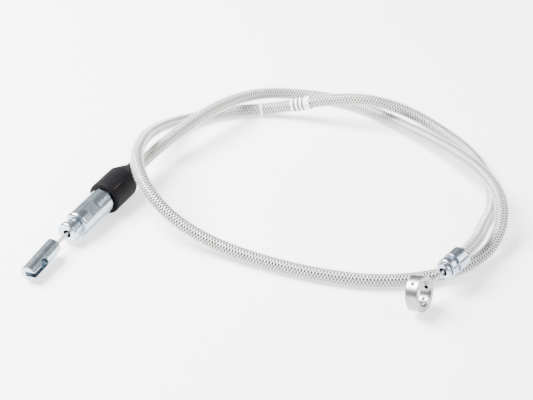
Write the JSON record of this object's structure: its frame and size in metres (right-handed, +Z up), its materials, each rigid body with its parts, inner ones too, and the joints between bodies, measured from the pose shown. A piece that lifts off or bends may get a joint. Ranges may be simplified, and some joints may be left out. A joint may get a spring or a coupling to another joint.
{
  "type": "mechanical release cable",
  "caption": "Bowden-type release cable coiled once and a bit: clear-jacketed braided housing, slotted ball connector and booted body at one end, ferrule and ring eyelet at the other.",
  "frame": {"origin": "under the middle of the end fittings' bounding box, on the surface that the cable lies on", "axes": "+Z up from the surface, +X from the slotted connector's end towards the ring's end, +Y towards the far side of the coil"},
  "size_m": [0.284, 0.2551, 0.0341],
  "materials": {
    "zinc": "blue-white zinc plating over turned steel",
    "ring_steel": "turned and lightly polished steel",
    "inner_steel": "plain turned steel",
    "conduit": "close-wound flattened steel wire",
    "wire": "galvanised stranded wire rope",
    "braid": "fine bright stainless braid",
    "clear_jacket": "clear glossy extruded plastic",
    "nylon": "natural nylon",
    "acetal": "black acetal",
    "rubber": "moulded black rubber, semi-matte",
    "label": "plain paper label",
    "tape": "white tape"
  },
  "bodies": {
    "housing": {"end_body": "zinc", "nose_guide_bush": "acetal", "conduit_end_cup": "inner_steel", "braid_clamp_ring": "inner_steel", "jacket_crimp_sleeve": "inner_steel", "outer_jacket": "clear_jacket", "braid_sleeve": "braid", "wound_conduit": "conduit", "conduit_liner": "nylon", "inner_wire": "wire", "paper_label": "label", "tape_mark": "tape", "end_ferrule": "zinc", "ferrule_guide_bush": "acetal", "ferrule_clamp_ring": "inner_steel", "ferrule_crimp_sleeve": "inner_steel"},
    "left_wire": {"left_pull_wire": "wire", "ball_nipple": "inner_steel"},
    "connector": {"connector_barrel": "zinc", "connector_cap": "zinc"},
    "right_wire": {"right_pull_wire": "wire", "ring_eyelet": "ring_steel"},
    "boot": {"rubber_boot": "rubber"}
  },
  "joints": [
    {"name": "ring_pull", "type": "slide", "parent": "housing", "child": "right_wire", "axis": [-0.6601, -0.7461, -0.0872], "range_m": [-0.005, 0.009]},
    {"name": "wire_draw", "type": "slide", "parent": "housing", "child": "left_wire", "axis": [0.4611, 0.8858, 0.0523], "range_m": [-0.005, 0.009]},
    {"name": "connector_swivel", "type": "hinge", "parent": "left_wire", "child": "connector", "pos_m": [-0.11475, -0.01656, 0.0074], "axis": [0.3822, 0.9226, 0.0523], "continuous": true},
    {"name": "boot_slide", "type": "slide", "parent": "housing", "child": "boot", "axis": [0.4611, 0.8858, 0.0523], "range_m": [0, 0.006]}
  ],
  "couplings": [
    {"joint": "wire_draw", "follows": "ring_pull", "ratio": 1}
  ]
}
